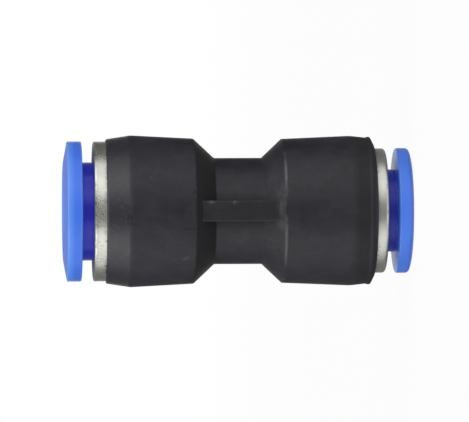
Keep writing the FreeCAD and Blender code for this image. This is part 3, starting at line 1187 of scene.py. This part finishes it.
@dataclass(frozen=True)
class MouldedBody:
    """Black body: two barrels, a ribbed neck between them and a stepped bore.

    Sizes are in millimetres, and heights are above its small end, which is at the foot.
    """

    finish: Finish = BlackMoulding()
    foot: float = 5.21
    shoulder: float = 13.22
    neck_foot: float = 16.10
    neck_top: float = 22.91
    cone_top: float = 25.90
    length: float = 38.43
    neck: float = 7.61
    cone_reach: float = 10.41
    rib_reach: float = 9.49
    rib_width: float = 3.0
    rib_edge: float = 0.25
    rib_root: float = 0.8
    mouth_bevel: float = 0.3
    seat_bevel: float = 0.25
    passage: float = 4.0
    stops: tuple[float, float] = (17.93, 20.93)
    # Height and spread of the painted highlight on the small shoulder's edge.
    highlight_height: float = 13.10
    highlight_reach: float = 0.15
    foot_band: float = 3.8
    fade: float = 1.2
    cone: tuple[float, float] = (22.94, 25.84)
    rib_shadow: float = 1.3
    taper_foot: float = 35.24

    def outside(self) -> list[Corner]:
        """Corners of the outside, from the small end up."""
        return [
            Corner(9.5, 0.0, 0.25),
            Corner(10.6, 0.55, 0.25),
            Corner(10.6, 0.9, 0.12),
            Corner(10.49, 1.15, 0.15),
            Corner(10.75, 3.4, 6.0),
            Corner(10.33, self.shoulder, 0.15),
            Corner(self.neck, self.neck_foot, 0.12),
            Corner(self.neck, self.neck_top, 0.3),
            Corner(self.cone_reach, self.cone_top, 0.5),
            Corner(10.88, self.length - 3.5, 1.5),
            Corner(10.35, self.length, 0.25),
        ]

    def way_to_seat(self, port: Port, mouth: float) -> list[Corner]:
        """Corners of one port's socket, gland and seat.

        Args:
            port: The port.
            mouth: The height of its end of the body.

        Returns:
            The corners, from the mouth inwards.
        """
        gland = port.bore + port.GLAND_ROOM
        steps = (
            (port.socket + self.mouth_bevel, 0.0),
            (port.socket, self.mouth_bevel),
            (port.socket, port.socket_depth),
            (gland, port.socket_depth),
            (gland, port.gland_depth),
            (port.bore + self.seat_bevel, port.gland_depth),
            (port.bore, port.gland_depth + self.seat_bevel),
        )
        return [Corner(radius, mouth + port.way_in * depth) for radius, depth in steps]

    def bore(self) -> list[Corner]:
        """Corners of the bore, from the large end down."""
        low, high = self.stops
        steps = ((LARGE.bore, high), (self.passage, high), (self.passage, low), (SMALL.bore, low))
        return [
            *self.way_to_seat(LARGE, self.length),
            *(Corner(*step) for step in steps),
            *reversed(self.way_to_seat(SMALL, 0.0)),
        ]

    def build(self) -> Object:
        """The body, riding on the fitting."""
        corners = [*self.outside(), *self.bore()]
        lifted = [Corner(c.radius, c.height + self.foot, c.rounding) for c in corners]
        outline = Outline(lifted)
        half = self.rib_width / 2
        low = (self.neck - self.rib_root, -half, self.shoulder + self.foot)
        high = (self.rib_reach, half, self.cone_top + self.foot)
        rib = block_mesh("rib", low, high, self.rib_edge)
        pattern = RoundPattern("neck_ribs", Repeat.FUSE, 2, math.pi / 2)
        mesh = pattern.applied(turned_mesh("body", outline), rib, self.finish)
        radii, heights = round_places(mesh).T
        heights -= self.foot
        outer = radii > 10.0
        # Painted highlight along the small shoulder's edge.
        shoulder_highlight = np.exp(-(((heights - self.highlight_height) / self.highlight_reach) ** 2)) * outer
        set_attribute(mesh, EDGE, shoulder_highlight)
        # Painted lighting: lighter on the taper band near the large end, darker on the foot band at
        # the small end.
        taper = np.clip((heights - self.taper_foot) / 0.1, 0.0, 1.0)
        foot = np.clip((self.foot_band - heights) / self.fade, 0.0, 1.0)
        set_attribute(mesh, PAINTED_LIGHTING, (taper - foot * 0.5) * outer)
        # Painted shade on the large cone, the ribs and the neck beside the ribs.
        set_attribute(mesh, SHADE, self.shade(mesh), "FACE")
        return add_piece("moulded_body", mesh, self.finish, "fitting", "body")

    def shade(self, mesh: Mesh) -> np.ndarray:
        """How much painted shade each face gets: the large cone, the ribs, and the neck beside the
        ribs.

        Args:
            mesh: The finished mesh.

        Returns:
            A number for each face, from 0 to 1.
        """
        across, along, heights = spots_of(mesh.polygons, "center").T
        heights = heights - self.foot
        radii = np.hypot(across, along)
        low, high = self.cone
        ends = (self.neck_top, self.cone_top)
        slant = np.interp(heights, ends, (self.neck, self.cone_reach))
        cone = (heights > low) * (heights < high) * (abs(radii - slant) < 0.03)
        gap = np.abs(across) - self.rib_width / 2
        beside = np.clip(1.0 - gap / self.rib_shadow, 0.0, 1.0) * (gap > 0.0)
        beside = beside * (abs(radii - self.neck) < 0.05) * (heights < low)
        crest = (abs(abs(along) - self.rib_reach) < 0.3) * (gap < 0.05) * (heights < high)
        crest = crest * (heights > self.shoulder)
        return np.maximum(cone * 0.9, np.maximum(beside * 0.7, crest * 0.3))


def dress_kept_nodes(nodes: dict[str, Object]) -> None:
    """Finish the CAD nodes that stay: the back-up rings and the O-rings."""
    finishes = {"backup_ring": PALE_RING, "o_ring": GREASED_RUBBER}
    for port in (LARGE, SMALL):
        for part, finish in finishes.items():
            node = nodes[f"{port.name}_{part}"]
            node.data.materials.clear()
            node.data.materials.append(finish.material())
            LOG.info("%s: CAD node kept", node.name)


# The studio


def sheet(title: str, corners: Sequence, material: Material) -> Object:
    """Flat sheet between four corners in metres, for the floor and the cards."""
    mesh = bpy.data.meshes.new(title)
    mesh.from_pydata(corners, [], [(0, 1, 2, 3)])
    mesh.materials.append(material)
    return placed(title, mesh)


@dataclass(frozen=True)
class SoftBox:
    """A flat lamp: its middle, what it faces, its size in metres and its brightness."""

    title: str
    middle: Triple
    faces: Triple
    width: float
    height: float
    brightness: float

    def build(self) -> None:
        """Hang the lamp. Its power is what gives its face the brightness."""
        lamp = bpy.data.lights.new(self.title, "AREA")
        lamp.shape = "RECTANGLE"
        lamp.size = self.width
        lamp.size_y = self.height
        lamp.energy = math.pi * self.brightness * self.width * self.height
        item = placed(self.title, lamp)
        item.location = self.middle
        aim = Vector(self.faces) - Vector(self.middle)
        item.rotation_euler = aim.to_track_quat("-Z", "Z").to_euler()


@dataclass(frozen=True)
class Card:
    """A flat card that only reflections see: one corner, its two sides and its brightness."""

    title: str
    corner: Triple
    sides: tuple[Triple, Triple]
    brightness: float

    def build(self) -> None:
        """Set the card up."""
        material = bpy.data.materials.new(self.title)
        tree = ShaderTree(material)
        glow = tree.add("ShaderNodeEmission", None, {"Strength": self.brightness})
        tree.add("ShaderNodeOutputMaterial", None, {"Surface": glow})
        corner, first, second = Vector(self.corner), *map(Vector, self.sides)
        corners = [corner, corner + first, corner + first + second, corner + second]
        card = sheet(self.title, corners, material)
        card.visible_camera = False
        card.visible_diffuse = False
        card.visible_transmission = False
        card.visible_shadow = False


@dataclass(frozen=True)
class Studio:
    """Pale floor, plain world, soft lamps and the camera of the photograph."""

    ambient: float = 0.36
    floor_size: float = 4.0
    floor_colour: Colour = (0.80, 0.80, 0.80)
    floor_glow: float = 0.94
    floor_reach: float = 700.0
    camera_place: Triple = (0.0, -0.704, 0.06615)
    camera_target: Triple = (0.0, 0.0, 0.02514)
    camera_roll: float = -0.19
    lens: float = 377.2
    boxes: tuple[SoftBox, ...] = (
        SoftBox("left_box", (-0.36, -0.225, 0.33), (0.0, 0.0, 0.03), 0.50, 0.55, 1.5),
        SoftBox("right_box", (0.32, -0.28, 0.33), (0.0, 0.0, 0.03), 0.50, 0.55, 1.5),
        SoftBox("top_box", (0.0, -0.1, 0.75), (0.0, 0.0, 0.0), 0.5, 0.5, 0.8),
    )
    cards: tuple[Card, ...] = (
        Card("front_card", (-0.027, -0.065, 0.0), ((0.048, 0.0, 0.0), (0.0, 0.0, 0.11)), 0.22),
        Card("left_card", (-0.042, 0.002, 0.0), ((0.006, 0.07, 0.0), (0.0, 0.0, 0.1)), 0.18),
        Card("right_card", (0.042, -0.004, 0.0), ((-0.006, 0.07, 0.0), (0.0, 0.0, 0.1)), 0.13),
        Card("low_card", (-0.060, -0.008, 0.0003), ((0.12, 0.0, 0.0), (0.0, 0.078, 0.0)), 0.26),
        Card("lap_card", (-0.015, -0.064, 0.0003), ((0.03, 0.0, 0.0), (0.0, 0.044, 0.0)), 0.22),
        Card("back_card", (-0.05, 0.09, 0.05), ((0.1, 0.0, 0.0), (0.0, 0.0, 0.12)), 0.35),
    )

    def world(self) -> None:
        """White behind the object, and a dimmer even light on it."""
        world = bpy.data.worlds.new("studio_world")
        bpy.context.scene.world = world
        tree = ShaderTree(world)
        dim = tree.add("ShaderNodeBackground", None, {"Color": WHITE, "Strength": self.ambient})
        white = tree.add("ShaderNodeBackground", None, {"Color": WHITE, "Strength": 1.0})
        shown = tree.add("ShaderNodeMixShader", None, {0: tree.seen(), 1: dim, 2: white})
        tree.add("ShaderNodeOutputWorld", None, {"Surface": shown})

    def floor(self) -> None:
        """Pale floor that glows enough to look white and still keeps a shadow."""
        material = bpy.data.materials.new("studio_floor")
        tree = ShaderTree(material)
        paint = tree.add("ShaderNodeBsdfDiffuse", None, {"Color": self.floor_colour})
        glow = tree.add("ShaderNodeEmission", None, {"Color": WHITE, "Strength": 1.0})
        close = tree.near(tree.place(), (0.0, 0.0, 0.0), self.floor_reach)
        factor = tree.seen() * (1.0 - close * (1.0 - self.floor_glow))
        shown = tree.add("ShaderNodeMixShader", None, {0: factor, 1: paint, 2: glow})
        tree.add("ShaderNodeOutputMaterial", None, {"Surface": shown})
        half = self.floor_size / 2
        corners = [(-half, -half, 0.0), (half, -half, 0.0), (half, half, 0.0), (-half, half, 0.0)]
        sheet("studio_floor", corners, material)

    def camera(self) -> None:
        """Camera a little above the fitting, rolled so that the large port is at the left."""
        data = bpy.data.cameras.new("photo_camera")
        data.lens = self.lens
        data.sensor_width = 36.0
        data.sensor_fit = "HORIZONTAL"
        data.clip_start = 0.01
        data.clip_end = 20.0
        place = Vector(self.camera_place)
        ahead = (Vector(self.camera_target) - place).normalized()
        roll = math.radians(self.camera_roll)
        up = Vector((math.cos(roll), 0.0, math.sin(roll)))
        right = ahead.cross(up).normalized()
        up = right.cross(ahead)
        turn = Matrix((right, up, -ahead)).transposed()
        camera = placed("photo_camera", data)
        camera.matrix_world = Matrix.Translation(place) @ turn.to_4x4()
        bpy.context.scene.camera = camera

    def build(self) -> None:
        """Set the whole studio up."""
        bpy.context.scene.view_settings.view_transform = "Standard"
        self.world()
        self.floor()
        for item in (*self.boxes, *self.cards):
            item.build()
        self.camera()


def main() -> None:
    """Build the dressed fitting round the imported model, then the studio."""
    logging.basicConfig(level=logging.INFO, format="%(message)s")
    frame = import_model()
    MouldedBody().build()
    for port, plate, blue in (
        (LARGE, NickelPlate(), BlueAcetal()),
        (SMALL, CLEAN_PLATE, PAINTED_SHADE_STEM_BLUE),
    ):
        Collar(port, plate).build()
        ReleaseSleeve(port, blue).build()
        GrabRing(port).build()
    dress_kept_nodes(frame["nodes"])
    Studio().build()


if __name__ == "__main__":
    main()
